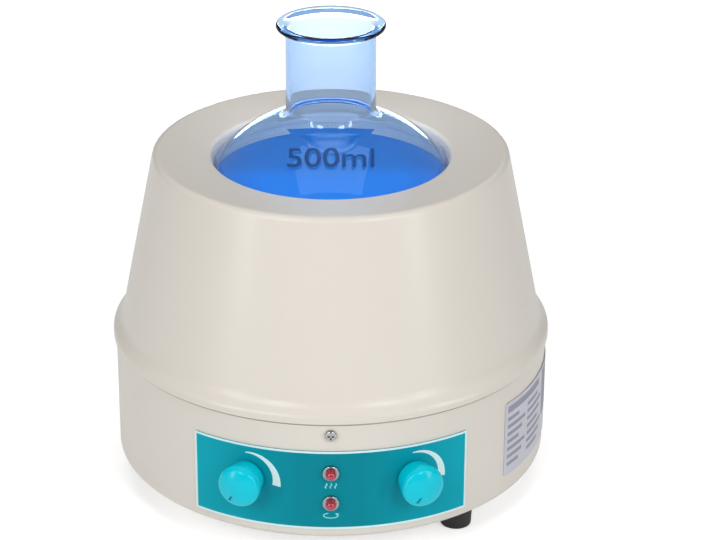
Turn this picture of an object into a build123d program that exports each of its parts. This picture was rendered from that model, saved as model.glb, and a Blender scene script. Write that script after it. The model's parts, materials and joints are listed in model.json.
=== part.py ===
"""A heating mantle with a magnetic stirrer, holding a round-bottom flask.

Millimetres, +Z up, front towards -Y. The origin lies on the mantle's axis, on the surface its feet
stand on. Azimuths are in degrees from the front, positive towards +X.
"""

from build123d import *
import os
from math import atan2, cos, degrees, radians, sin, sqrt, tan

# ---------------------------------------------------------------- clearances
SEAT = 0.3  # curved pieces of one body that rest on each other
SLIDE = 0.1  # pieces that slide or drop into place by hand
RUNNING = 0.05  # radial clearance of a turning shaft
DRILL = 0.2  # radial clearance of a hole round a screw, bush or tube
THROUGH = 12.0  # length of a drill centred on a wall, which passes it on both sides
ROUNDING = 0.6  # share of a screw head's or bezel's height that is rounded off

# ---------------------------------------------------------------- flask
FLASK_RADIUS = 56.8  # outside of the bulb at its widest ring
FLASK_WALL = 2.0
DOME_FLATNESS = 17.0  # how much the dome's sphere exceeds the bulb's radius
DOME_BLEND = 7.0  # arc between the widest ring and the dome
NECK_RADIUS = 21.5
NECK_FILLET = 7.0
RIM_HEIGHT = 72.2  # top of the rim above the widest ring
RIM_THICKNESS = 2.6
RIM_OVERHANG = 4.5  # turned-out rim beyond the neck
RIM_FILLET = 2.0  # under the rim
MOUTH_ROUNDING = 4.0  # where the bore turns out into the rim
LIQUID_DROP = 3.0  # liquid surface below the widest ring

# ---------------------------------------------------------------- heated well
CUP_WALL = 4.0  # woven glass-fibre cup
CUP_FLANGE = 5.5
CUP_FLANGE_THICKNESS = 1.5
WIRE = 2.0  # side of the heating band's square section
STRIP = 1.0  # thickness of the strip that joins its rings
WIRE_RINGS = 7
WIRE_FIRST = 22.0  # angles of the first and last ring from straight down
WIRE_LAST = 84.0
INSULATION_FLOOR = 5.2
INSULATION_SIDE = 5.8
CAN_WALL = 0.8
CAN_FLANGE = 3.0
CAN_BEND = 1.6
CAN_FLANGE_BEND = 0.4
CUTOUT_RADIUS = 7.0  # thermal cut-out on the can's side
CUTOUT_DEPTH = 8.0
CUTOUT_PLATE = 24.0
CUTOUT_PLATE_THICKNESS = 1.2
CUTOUT_AZ = 262.0
CUTOUT_RISE = 32.0  # above the can's floor

# ---------------------------------------------------------------- sheet-metal housing
SHEET = 1.5
SKIN = 1.0  # sheet of the upper housing
FOOT_HEIGHT = 14.0
BASE_HEIGHT = 60.6  # underside of the base to the seam
BASE_BEND = 3.0
BASE_FLANGE = 26.0
LAP = 2.4  # how far the base reaches up inside the skirt
LAP_GAP = 0.2
SKIRT_HEIGHT = 3.4
SHOULDER_RISE = 4.5
SHOULDER_STEP = 4.47
SHOULDER_BEND = 2.5
SHOULDER_BLEND = 8.0
CONE_TAPER = 11.5
TOP_BEND = 3.0
TOP_LAND = 28.05  # edge of the opening to the cone's corner
OPENING_GAP = 0.5
DISH = 2.4  # fall of the top from the cone's corner to the opening
LIP_DROP = 4.0
LIP_ROLL = 2.0
WELL_RISE = 9.1  # top of the housing above the flask's widest ring

# ---------------------------------------------------------------- deck, pillars and their screws
TAB_WIDTH = 16.0
TAB_BELOW_SCREW = 6.0
TAB_COUNT = 3
SIDE_SCREW_DROP = 5.8  # below the seam
M3_RADIUS = 1.5
M3_HEAD_RADIUS = 2.75
M3_HEAD = 1.9
M3_LENGTH = 6.0
M4_RADIUS = 2.0
M4_HEAD_RADIUS = 3.8
M4_HEAD = 2.6
M4_NUT_FLATS = 7.0
M4_NUT = 3.2
CROSS_WIDTH = 0.8
CROSS_LENGTH = 3.2
CROSS_DEPTH = 1.0
PILLAR_RADIUS = 3.5
PILLAR_AZ = 60.0
PILLAR_COUNT = 3
PILLAR_THREAD = 10.0
PILLAR_CLEARANCE = 1.0

# ---------------------------------------------------------------- bottom plate and feet
PLATE_MARGIN = 5.0  # bottom plate's edge to the base's inside
SLOT_COUNT = 20
SLOT_WIDTH = 3.0
SLOT_LENGTH = 18.0
SLOT_CIRCLE = 64.0
PLATE_SCREW_AZ = 102.0
FOOT_INSET = 16.0  # foot's centre from the base's outside
FOOT_COUNT = 3
FOOT_AZ = 42.0
FOOT_RADIUS = 7.4
FOOT_FLARE = 0.8
FOOT_RECESS = 6.0
FOOT_FILLET = 1.0
FOOT_SCREW_END = 1.0  # foot screw beyond its nut

# ---------------------------------------------------------------- stirrer
MOTOR_RADIUS = 21.0
MOTOR_LENGTH = 36.0
MOTOR_BEND = 2.0
MOTOR_BOSS_RADIUS = 6.0
MOTOR_BOSS = 1.3  # boss above the deck
MOTOR_TAIL_RADIUS = 5.0
MOTOR_TAIL = 3.0
MOTOR_SCREW_CIRCLE = 15.0
MOTOR_SCREW_COUNT = 2
SHAFT_RADIUS = 2.5
SHAFT_DEPTH = 18.0  # length inside the motor
CARRIER_LIFT = 5.0  # carrier above the deck
CARRIER_RADIUS = 27.0
CARRIER_THICKNESS = 3.0
HUB_RADIUS = 6.0
HUB_DROP = 3.0
MAGNET_RADIUS = 7.0
MAGNET_HEIGHT = 4.0
MAGNET_POCKET = 1.2
MAGNET_CIRCLE = 17.5
MAGNET_COUNT = 2
MAGNET_GAP = 1.0  # magnets to the can above them

# ---------------------------------------------------------------- control panel
LABEL_THICKNESS = 0.4
LABEL_BOND = 0.1  # adhesive under a label
LABEL_AZ = 36.64  # half angle of the control label
LABEL_TOP = 14.3  # below the seam
LABEL_HEIGHT = 41.0
LABEL_CORNER = 1.5
RATING_AZ = 69.7
RATING_SPAN_AZ = 18.6  # half angle of the rating label
RATING_TOP = 10.9
RATING_HEIGHT = 39.0
CONTROL_AZ = 21.3
CONTROL_DROP = 31.2
KNOB_RADIUS = 10.15
KNOB_BASE_RADIUS = 8.5
KNOB_LIFT = 1.0  # knob's edge above the label
KNOB_WIDEST = 8.2  # widest ring above the knob's edge
KNOB_LENGTH = 13.2
KNOB_CROWN = 2.6  # rise of the domed face
KNOB_FILLET = 3.0
KNOB_CAVITY_RADIUS = 7.3
KNOB_CAVITY = 3.6
KNOB_BORE = 7.0
POT_SHAFT_RADIUS = 3.0
POT_SHAFT_FLAT = 1.4
POT_RADIUS = 12.0
POT_DEPTH = 11.0
POT_BACK = 3.0  # behind the shaft's end
POT_SETBACK = 1.0  # flat front of the body behind the curved wall
POT_BUSH_RADIUS = 4.5
POT_BUSH_REACH = 3.2  # bush beyond the label
POT_LUG_WIDTH = 3.0
POT_LUG_HEIGHT = 8.0
POT_LUG_THICKNESS = 0.8
POT_LUG_PITCH = 5.0
POT_WASHER_RADIUS = 6.8
POT_WASHER = 0.5
POT_NUT_FLATS = 12.0
POT_NUT = 2.0
LAMP_DROPS = {"heat_lamp": 25.4, "stir_lamp": 41.2}
LAMP_RADIUS = 2.5
LAMP_FLANGE = 0.5
LAMP_DEPTH = 6.0  # lamp's back behind the label
LAMP_PROUD = 1.0  # straight part of the lamp beyond the bezel
LAMP_LEAD_LENGTH = 9.0
LEAD = 0.5  # side of a lead on a lamp or on the power switch
LEAD_PITCH = 2.54
BEZEL_RADIUS = 4.0
BEZEL_FLANGE = 1.2
BEZEL_TUBE = 3.2
BEZEL_DEPTH = 4.6
BEZEL_NUT_RADIUS = 4.6
BEZEL_NUT = 1.6

# ---------------------------------------------------------------- mains inlet and fuse
REAR_AZ = 180.0
LAND_WIDTH = 30.0  # flat pressed into the wall
LAND_MARGIN = 4.0  # flat's ends from the underside and from the seam
INLET_WIDTH = 24.0
INLET_HEIGHT = 31.0
INLET_CORNER = 3.0
INLET_FLANGE = 3.0
INLET_EDGE = 0.6
INLET_BODY_WIDTH = 20.0
INLET_BODY_HEIGHT = 27.5
INLET_BODY_DEPTH = 19.0
INLET_MOUTH_WIDTH = 16.3
INLET_MOUTH_HEIGHT = 24.0
INLET_MOUTH_CHAMFER = 4.5
INLET_MOUTH_DEPTH = 17.0
PIN_WIDTH = 2.0
PIN_HEIGHT = 4.0
PIN_SETBACK = 4.8  # pin's tip behind the flange's face
PIN_TAIL = 7.0
PIN_SPREAD = 7.0
PIN_OFFSET = 2.0
FUSE_BODY_RADIUS = 6.0
FUSE_BODY_DEPTH = 30.0
FUSE_FLANGE_RADIUS = 7.0
FUSE_FLANGE = 2.0
FUSE_NUT_RADIUS = 8.0
FUSE_NUT = 2.5
FUSE_BORE_RADIUS = 4.6
CAP_RADIUS = 6.5
CAP_HEIGHT = 6.6
CAP_SPIGOT = 8.0
CAP_FILLET = 1.2
CAP_SLOT = 1.2

# ---------------------------------------------------------------- electronics in the base
BOARD_LENGTH = 100.0
BOARD_DEPTH = 48.0
BOARD_THICKNESS = 1.6
BOARD_Y = 46.0
BOARD_LIFT = 8.0
STANDOFF_RADIUS = 3.0
STANDOFF_INSET = 5.0
BOARD_HOLE = 1.6
CORE_LENGTH = 40.0
CORE_DEPTH = 18.0
CORE_HEIGHT = 32.0
COIL_LENGTH = 26.0
COIL_DEPTH = 32.0
COIL_HEIGHT = 24.0
COIL_FILLET = 1.5
TRANSFORMER_X = -25.0
CAPACITOR_RADIUS = 6.3
CAPACITOR_HEIGHT = 22.0
CAPACITOR_FILLET = 1.0
CAPACITOR_X = 6.0
CAPACITOR_Y = 58.0
SINK_LENGTH = 30.0
SINK_HEIGHT = 34.0
SINK_BACK = 3.0
SINK_FIN = 1.2
SINK_FIN_DEPTH = 10.0
SINK_FIN_COUNT = 6
SINK_X = 32.0
SINK_Y = 52.0
TRIAC_WIDTH = 10.0
TRIAC_THICKNESS = 4.4
TRIAC_HEIGHT = 15.0
TRIAC_LIFT = 6.0
BLOCK_LENGTH = 32.0
BLOCK_DEPTH = 10.0
BLOCK_HEIGHT = 11.0
BLOCK_WAYS = 4
BLOCK_HOLE = 2.0
BLOCK_HOLE_DEPTH = 6.0
BLOCK_X = 22.0
BLOCK_Y = 31.0

# ---------------------------------------------------------------- heights worked out upwards
BASE_Z = FOOT_HEIGHT
SEAM_Z = BASE_Z + BASE_HEIGHT
DECK_Z = SEAM_Z + LAP  # top face of the deck
CARRIER_Z = DECK_Z + CARRIER_LIFT
MAGNET_Z = CARRIER_Z + CARRIER_THICKNESS - MAGNET_POCKET
CAN_Z = MAGNET_Z + MAGNET_HEIGHT + MAGNET_GAP
WIRE_SPACE = SEAT + WIRE + SEAT
WELL_STACK = CAN_WALL + SEAT + INSULATION_FLOOR + WIRE_SPACE + CUP_WALL + SEAT
FLASK_Z = CAN_Z + WELL_STACK + FLASK_RADIUS  # the flask's widest ring
TOP_Z = FLASK_Z + WELL_RISE
EDGE_Z = TOP_Z - DISH  # edge of the opening
LIP_Z = EDGE_Z - LIP_DROP
PLATE_Z = BASE_Z + SHEET  # underside of the bottom plate
FLOOR_Z = PLATE_Z + SHEET  # its top, where the electronics stand
BOARD_Z = FLOOR_Z + BOARD_LIFT
BOARD_TOP = BOARD_Z + BOARD_THICKNESS
MOTOR_Z = DECK_Z - SHEET  # motor's front face, under the deck
SIDE_SCREW_Z = SEAM_Z - SIDE_SCREW_DROP
CONTROL_Z = SEAM_Z - CONTROL_DROP
INLET_Z = BASE_Z + LAND_MARGIN + INLET_HEIGHT / 2
FUSE_Z = SEAM_Z - LAND_MARGIN - FUSE_FLANGE_RADIUS

# ---------------------------------------------------------------- radii worked out outwards
CUP_INNER = FLASK_RADIUS + SEAT
CUP_OUTER = CUP_INNER + CUP_WALL
WIRE_RADIUS = CUP_OUTER + SEAT
INSULATION_INNER = CUP_OUTER + WIRE_SPACE
INSULATION_OUTER = INSULATION_INNER + INSULATION_SIDE
CAN_RADIUS = INSULATION_OUTER + SEAT + CAN_WALL
PILLAR_CIRCLE = CAN_RADIUS + CAN_FLANGE + PILLAR_RADIUS + PILLAR_CLEARANCE
OPENING_RADIUS = FLASK_RADIUS + OPENING_GAP
TOP_RADIUS = OPENING_RADIUS + TOP_LAND
DISH_SLOPE = atan2(DISH, TOP_LAND)
SHOULDER_Z = SEAM_Z + SKIRT_HEIGHT + SHOULDER_RISE
SHOULDER_RADIUS = TOP_RADIUS + (TOP_Z - SHOULDER_Z) * tan(radians(CONE_TAPER))
SKIRT_RADIUS = SHOULDER_RADIUS + SHOULDER_STEP
BASE_RADIUS = SKIRT_RADIUS - SKIN - LAP_GAP
BASE_INNER = BASE_RADIUS - SHEET
FOOT_CIRCLE = BASE_RADIUS - FOOT_INSET
DECK_RADIUS = BASE_INNER - SLIDE
LABEL_INNER = BASE_RADIUS + LABEL_BOND
LABEL_OUTER = LABEL_INNER + LABEL_THICKNESS
LAND_Y = sqrt(BASE_RADIUS**2 - (LAND_WIDTH / 2) ** 2)  # flat's distance from the axis

UP = (Align.CENTER, Align.CENTER, Align.MIN)
DOWN = (Align.CENTER, Align.CENTER, Align.MAX)
BEHIND = (Align.CENTER, Align.MAX, Align.MAX)
CONTROLS = {"heat": -CONTROL_AZ, "stir": CONTROL_AZ}


# ---------------------------------------------------------------- helpers
def facing(azimuth, distance, z):
    """Plane at a distance from the axis: its normal points outwards, its X right, its Y up."""
    a = radians(azimuth)
    out = Vector(sin(a), -cos(a), 0)
    return Plane(origin=out * distance + Vector(0, 0, z), x_dir=(cos(a), sin(a), 0), z_dir=out)


def spin(section):
    """Revolve a section drawn with X as the radius and Y as the height."""
    return revolve(Plane.XZ * section, Axis.Z)


def ring(outer, inner, bottom, height):
    """Upright tube with its lower face at the given height."""
    tube = Cylinder(outer, height, align=UP) - Cylinder(inner, height, align=UP)
    return Pos(0, 0, bottom) * tube


def bent_sheet(points, radii, thickness):
    """Section of bent sheet: a line with rounded corners, thickened to its left."""
    path = FilletPolyline(*points, radius=radii)
    return make_face(offset(path, thickness, side=Side.LEFT, closed=True))


def spokes(count, circle, first, z=0.0):
    """Upright places spread round the axis, from a first azimuth."""
    azimuths = [first + 360 / count * i for i in range(count)]
    return [Rot(0, 0, azimuth) * Pos(0, -circle, z) for azimuth in azimuths]


def group(pieces):
    """One node of several separate solids."""
    return Compound(children=list(pieces))


def pan_screw(radius, length, head_radius, head, cross=True):
    """Screw along Z: the head sits above the origin and the shank runs down from it."""
    button = Cylinder(head_radius, head, align=UP)
    button = fillet(button.edges().group_by(Axis.Z)[-1], head * ROUNDING)
    if cross:
        slot = Box(CROSS_LENGTH, CROSS_WIDTH, CROSS_DEPTH, align=DOWN)
        button -= Pos(0, 0, head) * (slot + Rot(0, 0, 90) * slot)
    return button + Cylinder(radius, length, align=DOWN)


def hex_nut(flats, height, bore):
    """Nut standing on its origin."""
    return extrude(RegularPolygon(flats / 2, 6, major_radius=False) - Circle(bore), height)


def curved_label(azimuth, half_angle, top, height):
    """Thin sheet wrapped on the base's wall, with rounded corners."""
    shell = ring(LABEL_OUTER, LABEL_INNER, SEAM_Z - top - height, height)
    width = 2 * LABEL_OUTER * sin(radians(half_angle))
    middle = SEAM_Z - top - height / 2
    window = extrude(RectangleRounded(width, height, LABEL_CORNER), LABEL_OUTER)
    return shell & facing(azimuth, 0, middle) * window


# ---------------------------------------------------------------- flask
def flask_outline(inset):
    """Half section of the flask, moved inwards by an inset: bulb, blend, dome, fillet and neck."""
    blend_x = FLASK_RADIUS - DOME_BLEND
    dome = FLASK_RADIUS + DOME_FLATNESS
    dome_drop = sqrt((dome - DOME_BLEND) ** 2 - blend_x**2)
    dome_z = FLASK_Z - dome_drop
    fillet_x = NECK_RADIUS + NECK_FILLET
    fillet_rise = sqrt((dome + NECK_FILLET) ** 2 - fillet_x**2)
    low = degrees(atan2(dome_drop, blend_x))
    high = degrees(atan2(fillet_rise, fillet_x))
    top = FLASK_Z + RIM_HEIGHT
    neck = NECK_RADIUS - inset
    shoulder_z = dome_z + fillet_rise
    return make_face(
        [
            CenterArc((0, FLASK_Z), FLASK_RADIUS - inset, -90, 90),
            CenterArc((blend_x, FLASK_Z), DOME_BLEND - inset, 0, low),
            CenterArc((0, dome_z), dome - inset, low, high - low),
            CenterArc((fillet_x, shoulder_z), NECK_FILLET + inset, high + 180, -high),
            Line((neck, shoulder_z), (neck, top)),
            Line((neck, top), (0, top)),
            Line((0, top), (0, FLASK_Z - FLASK_RADIUS + inset)),
        ]
    )


def flask_rim():
    """Section of the rim that turns out over the neck, filleted below and half-round outside."""
    top = FLASK_Z + RIM_HEIGHT
    edge = NECK_RADIUS + RIM_OVERHANG - RIM_THICKNESS / 2
    under = top - RIM_THICKNESS
    turn = NECK_RADIUS + RIM_FILLET
    bore = NECK_RADIUS - FLASK_WALL
    return make_face(
        [
            Line((bore, top), (edge, top)),
            CenterArc((edge, top - RIM_THICKNESS / 2), RIM_THICKNESS / 2, -90, 180),
            Line((edge, under), (turn, under)),
            CenterArc((turn, under - RIM_FILLET), RIM_FILLET, 90, 90),
            Line((NECK_RADIUS, under - RIM_FILLET), (bore, under - RIM_FILLET)),
            Line((bore, under - RIM_FILLET), (bore, top)),
        ]
    )


def flask_mouth():
    """Section of what the bore's rounded mouth takes off the rim."""
    top = FLASK_Z + RIM_HEIGHT
    bore = NECK_RADIUS - FLASK_WALL
    low = top - MOUTH_ROUNDING
    return make_face(
        [
            CenterArc((bore + MOUTH_ROUNDING, low), MOUTH_ROUNDING, 90, 90),
            Line((bore, low), (bore, top)),
            Line((bore, top), (bore + MOUTH_ROUNDING, top)),
        ]
    )


def flask():
    glass = spin(flask_outline(0)) + spin(flask_rim())
    return glass - spin(flask_outline(FLASK_WALL)) - spin(flask_mouth())


def flask_liquid():
    filled = spin(flask_outline(FLASK_WALL + SLIDE))
    below = Cylinder(FLASK_RADIUS, FLASK_RADIUS, align=DOWN)
    return filled & Pos(0, 0, FLASK_Z - LIQUID_DROP) * below


# ---------------------------------------------------------------- heated well
def bowl(radius, top):
    """Solid with a half-round bottom under a straight side, filled up to a height."""
    side = Cylinder(radius, top - FLASK_Z, align=UP)
    half = Sphere(radius, arc_size2=0, align=DOWN)
    return Pos(0, 0, FLASK_Z) * (side + half)


def heater_cup():
    top = LIP_Z - SEAT
    cup = bowl(CUP_OUTER, top)
    rim_z = top - CUP_FLANGE_THICKNESS
    cup += ring(CUP_OUTER + CUP_FLANGE, CUP_INNER, rim_z, CUP_FLANGE_THICKNESS)
    return cup - bowl(CUP_INNER, TOP_Z)


def heater_winding():
    """Heating band: square rings round the cup, joined by one strip."""
    step = (WIRE_LAST - WIRE_FIRST) / (WIRE_RINGS - 1)
    square = Pos(WIRE_RADIUS + WIRE / 2, 0) * Rectangle(WIRE, WIRE)
    band = Sketch()
    for i in range(WIRE_RINGS):
        band += Rot(0, 0, WIRE_FIRST + step * i - 90) * square
    near = WIRE_RADIUS + (WIRE - STRIP) / 2
    far = near + STRIP
    sweep = WIRE_LAST - WIRE_FIRST
    sector = make_face(
        [
            CenterArc((0, 0), near, WIRE_FIRST - 90, sweep),
            Line(polar(near, WIRE_LAST), polar(far, WIRE_LAST)),
            CenterArc((0, 0), far, WIRE_FIRST - 90, sweep),
            Line(polar(near, WIRE_FIRST), polar(far, WIRE_FIRST)),
        ]
    )
    strip = extrude(Plane.XZ * sector, WIRE, both=True)
    return Pos(0, 0, FLASK_Z) * (spin(band) + strip)


def polar(radius, angle):
    """Point of a half section at an angle from straight down."""
    return (radius * sin(radians(angle)), -radius * cos(radians(angle)))


def insulation():
    top = LIP_Z - SEAT - CUP_FLANGE_THICKNESS - SEAT
    bottom = CAN_Z + CAN_WALL + SEAT
    block = Pos(0, 0, bottom) * Cylinder(INSULATION_OUTER, top - bottom, align=UP)
    return block - bowl(INSULATION_INNER, TOP_Z)


def insulation_can():
    """Spun cup whose turned-out flange seats under the housing's dished top."""
    edge = CAN_RADIUS + CAN_FLANGE
    wall = CAN_WALL / cos(DISH_SLOPE) + SEAT
    outside = [
        (0, CAN_Z),
        (CAN_RADIUS, CAN_Z),
        (CAN_RADIUS, under_top(CAN_RADIUS) - wall),
        (edge, under_top(edge) - wall),
    ]
    return spin(bent_sheet(outside, [CAN_BEND, CAN_FLANGE_BEND], CAN_WALL))


def thermal_cutout():
    plate = Box(CUTOUT_PLATE, 2 * CUTOUT_RADIUS, CUTOUT_PLATE_THICKNESS, align=UP)
    disc = Cylinder(CUTOUT_RADIUS, CUTOUT_DEPTH, align=UP)
    place = facing(CUTOUT_AZ, CAN_RADIUS + SEAT, CAN_Z + CUTOUT_RISE)
    return place * (plate + disc)


# ---------------------------------------------------------------- housing
def under_top(radius):
    """Height of the dished top's underside."""
    return TOP_Z - (TOP_RADIUS - radius) * tan(DISH_SLOPE) - SKIN / cos(DISH_SLOPE)


def upper_housing():
    """Skirt, shoulder, cone, dished top and rolled lip, formed from one sheet."""
    outside = [
        (SKIRT_RADIUS, SEAM_Z),
        (SKIRT_RADIUS, SEAM_Z + SKIRT_HEIGHT),
        (SHOULDER_RADIUS, SHOULDER_Z),
        (TOP_RADIUS, TOP_Z),
        (OPENING_RADIUS, EDGE_Z),
        (OPENING_RADIUS, LIP_Z),
    ]
    bends = [SHOULDER_BEND, SHOULDER_BLEND, TOP_BEND, LIP_ROLL]
    return spin(bent_sheet(outside, bends, SKIN))


def wall_hole(azimuth, z, radius):
    """Radial drill through the base's wall and anything on it."""
    return facing(azimuth, BASE_RADIUS, z) * Cylinder(radius, THROUGH)


def control_holes():
    """Holes for the potentiometers' bushes and the lamps' bezels."""
    bushes = [wall_hole(az, CONTROL_Z, POT_BUSH_RADIUS + DRILL) for az in CONTROLS.values()]
    tubes = [wall_hole(0, SEAM_Z - drop, BEZEL_TUBE + DRILL) for drop in LAMP_DROPS.values()]
    return bushes + tubes


def tab_azimuths():
    return [360 / TAB_COUNT * i for i in range(TAB_COUNT)]


def base_housing():
    """Cylindrical wall with a turned-in flange below and a flat pressed in at the back."""
    outside = [
        (BASE_RADIUS - BASE_FLANGE, BASE_Z),
        (BASE_RADIUS, BASE_Z),
        (BASE_RADIUS, DECK_Z),
    ]
    wall = spin(bent_sheet(outside, [BASE_BEND], SHEET))
    land_height = BASE_HEIGHT - 2 * LAND_MARGIN
    land = facing(REAR_AZ, LAND_Y, BASE_Z + BASE_HEIGHT / 2)
    inside = Pos(0, 0, BASE_Z) * Cylinder(BASE_RADIUS - SHEET / 2, BASE_HEIGHT, align=UP)
    wall += land * Box(LAND_WIDTH + 4 * SHEET, land_height + 2 * SHEET, SHEET, align=DOWN) & inside
    wall -= land * Box(LAND_WIDTH, land_height, 4 * SHEET, align=UP)
    wall -= control_holes()
    wall -= [wall_hole(az, SIDE_SCREW_Z, M3_RADIUS + DRILL) for az in tab_azimuths()]
    window = Box(INLET_BODY_WIDTH + 2 * DRILL, INLET_BODY_HEIGHT + 2 * DRILL, THROUGH)
    wall -= facing(REAR_AZ, LAND_Y, INLET_Z) * window
    wall -= facing(REAR_AZ, LAND_Y, FUSE_Z) * Cylinder(FUSE_BODY_RADIUS + DRILL, THROUGH)
    wall -= [place * Cylinder(M4_RADIUS + DRILL, THROUGH) for place in foot_places(BASE_Z)]
    wall -= [place * Cylinder(M3_RADIUS + DRILL, THROUGH) for place in plate_screw_places()]
    return wall


def deck_plate():
    """Disc inside the base's top edge, with tabs bent down for the side screws."""
    deck = Pos(0, 0, DECK_Z) * Cylinder(DECK_RADIUS, SHEET, align=DOWN)
    tab_z = SIDE_SCREW_Z - TAB_BELOW_SCREW
    band = ring(DECK_RADIUS, DECK_RADIUS - SHEET, tab_z, DECK_Z - tab_z)
    for azimuth in tab_azimuths():
        column = Box(TAB_WIDTH, 2 * DECK_Z, DECK_RADIUS + SHEET, align=UP)
        deck += band & facing(azimuth, 0, 0) * column
        deck -= wall_hole(azimuth, SIDE_SCREW_Z, M3_RADIUS + RUNNING)
    deck -= Pos(0, 0, DECK_Z) * Cylinder(MOTOR_BOSS_RADIUS + DRILL, THROUGH)
    deck -= [place * Cylinder(M3_RADIUS + DRILL, THROUGH) for place in motor_screw_places()]
    deck -= [place * Cylinder(M4_RADIUS + DRILL, THROUGH) for place in pillar_places(DECK_Z)]
    return deck


def side_screws():
    screw = pan_screw(M3_RADIUS, M3_LENGTH, M3_HEAD_RADIUS, M3_HEAD)
    return group(facing(az, BASE_RADIUS, SIDE_SCREW_Z) * screw for az in tab_azimuths())


def pillar_places(z):
    return spokes(PILLAR_COUNT, PILLAR_CIRCLE, PILLAR_AZ, z)


def housing_pillars():
    """Studs under the housing's top, cut to its slope, standing on the deck."""
    thread = Cylinder(M4_RADIUS + RUNNING, PILLAR_THREAD + SLIDE, align=UP)
    pillar = Cylinder(PILLAR_RADIUS, TOP_Z - DECK_Z, align=UP) - thread
    corners = [
        (0, DECK_Z),
        (TOP_RADIUS, DECK_Z),
        (TOP_RADIUS, under_top(TOP_RADIUS) - SEAT),
        (0, under_top(0) - SEAT),
    ]
    space = spin(make_face(Polyline(*corners, close=True)))
    return group(place * pillar & space for place in pillar_places(DECK_Z))


def pillar_screws():
    screw = pan_screw(M4_RADIUS, SHEET + PILLAR_THREAD, M4_HEAD_RADIUS, M4_HEAD, cross=False)
    return group(place * Rot(180, 0, 0) * screw for place in pillar_places(DECK_Z - SHEET))


# ---------------------------------------------------------------- bottom plate and feet
def foot_places(z):
    return spokes(FOOT_COUNT, FOOT_CIRCLE, FOOT_AZ, z)


def plate_screw_places():
    return spokes(FOOT_COUNT, FOOT_CIRCLE, PLATE_SCREW_AZ, BASE_Z)


def bottom_plate():
    """Vented disc that lies on the base's flange."""
    plate = Pos(0, 0, PLATE_Z) * Cylinder(BASE_INNER - PLATE_MARGIN, SHEET, align=UP)
    slot = extrude(Rot(0, 0, 90) * SlotOverall(SLOT_LENGTH, SLOT_WIDTH), THROUGH)
    plate -= [place * slot for place in spokes(SLOT_COUNT, SLOT_CIRCLE, 0, BASE_Z)]
    plate -= [place * Cylinder(M4_RADIUS + DRILL, THROUGH) for place in foot_places(PLATE_Z)]
    plate -= [place * Cylinder(M3_RADIUS + RUNNING, THROUGH) for place in plate_screw_places()]
    return plate


def bottom_plate_screws():
    screw = Rot(180, 0, 0) * pan_screw(M3_RADIUS, M3_LENGTH, M3_HEAD_RADIUS, M3_HEAD, cross=False)
    return group(place * screw for place in plate_screw_places())


def foot():
    """Rubber foot, wider at its root, with a recess for the screw's head."""
    body = Cone(FOOT_RADIUS, FOOT_RADIUS + FOOT_FLARE, FOOT_HEIGHT, align=UP)
    body = fillet(body.edges().group_by(Axis.Z)[0], FOOT_FILLET)
    body -= Cylinder(M4_HEAD_RADIUS + DRILL, FOOT_RECESS, align=UP)
    return body - Cylinder(M4_RADIUS + DRILL, FOOT_HEIGHT, align=UP)


def foot_screws():
    length = FOOT_HEIGHT - FOOT_RECESS + 2 * SHEET + M4_NUT + FOOT_SCREW_END
    screw = Rot(180, 0, 0) * pan_screw(M4_RADIUS, length, M4_HEAD_RADIUS, M4_HEAD, cross=False)
    return group(place * screw for place in foot_places(FOOT_RECESS))


def foot_nuts():
    nut = hex_nut(M4_NUT_FLATS, M4_NUT, M4_RADIUS + RUNNING)
    return group(place * nut for place in foot_places(FLOOR_Z))


# ---------------------------------------------------------------- stirrer
def motor_screw_places():
    return spokes(MOTOR_SCREW_COUNT, MOTOR_SCREW_CIRCLE, 90, DECK_Z)


def stirrer_motor():
    """Round motor hung under the deck, with its bearing boss through the deck."""
    body = Cylinder(MOTOR_RADIUS, MOTOR_LENGTH, align=DOWN)
    body = fillet(body.edges().filter_by(GeomType.CIRCLE), MOTOR_BEND)
    body += Cylinder(MOTOR_BOSS_RADIUS, SHEET + MOTOR_BOSS, align=UP)
    body += Pos(0, 0, -MOTOR_LENGTH) * Cylinder(MOTOR_TAIL_RADIUS, MOTOR_TAIL, align=DOWN)
    motor = Pos(0, 0, MOTOR_Z) * body
    bore = Cylinder(SHAFT_RADIUS + RUNNING, SHAFT_DEPTH + SHEET + MOTOR_BOSS + SLIDE, align=DOWN)
    motor -= Pos(0, 0, DECK_Z + MOTOR_BOSS) * bore
    thread = Cylinder(M3_RADIUS + RUNNING, M3_LENGTH + SLIDE, align=DOWN)
    motor -= [place * thread for place in motor_screw_places()]
    return motor


def motor_screws():
    screw = pan_screw(M3_RADIUS, M3_LENGTH, M3_HEAD_RADIUS, M3_HEAD)
    return group(place * screw for place in motor_screw_places())


def stirrer_shaft():
    bottom = MOTOR_Z - SHAFT_DEPTH
    top = CARRIER_Z + CARRIER_THICKNESS
    return Pos(0, 0, bottom) * Cylinder(SHAFT_RADIUS, top - bottom, align=UP)


def magnet_places():
    return spokes(MAGNET_COUNT, MAGNET_CIRCLE, 90, MAGNET_Z)


def magnet_carrier():
    """Disc with a hub, and a pocket for each magnet."""
    disc = Cylinder(CARRIER_RADIUS, CARRIER_THICKNESS, align=UP)
    disc += Cylinder(HUB_RADIUS, HUB_DROP, align=DOWN)
    disc -= Cylinder(SHAFT_RADIUS + RUNNING, THROUGH)
    carrier = Pos(0, 0, CARRIER_Z) * disc
    pocket = Cylinder(MAGNET_RADIUS + RUNNING, MAGNET_HEIGHT, align=UP)
    return carrier - [place * pocket for place in magnet_places()]


def stirrer_magnets():
    magnet = Cylinder(MAGNET_RADIUS, MAGNET_HEIGHT, align=UP)
    return group(place * magnet for place in magnet_places())


# ---------------------------------------------------------------- control panel
def control_label():
    return curved_label(0, LABEL_AZ, LABEL_TOP, LABEL_HEIGHT) - control_holes()


def rating_label():
    return curved_label(RATING_AZ, RATING_SPAN_AZ, RATING_TOP, RATING_HEIGHT)


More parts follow.
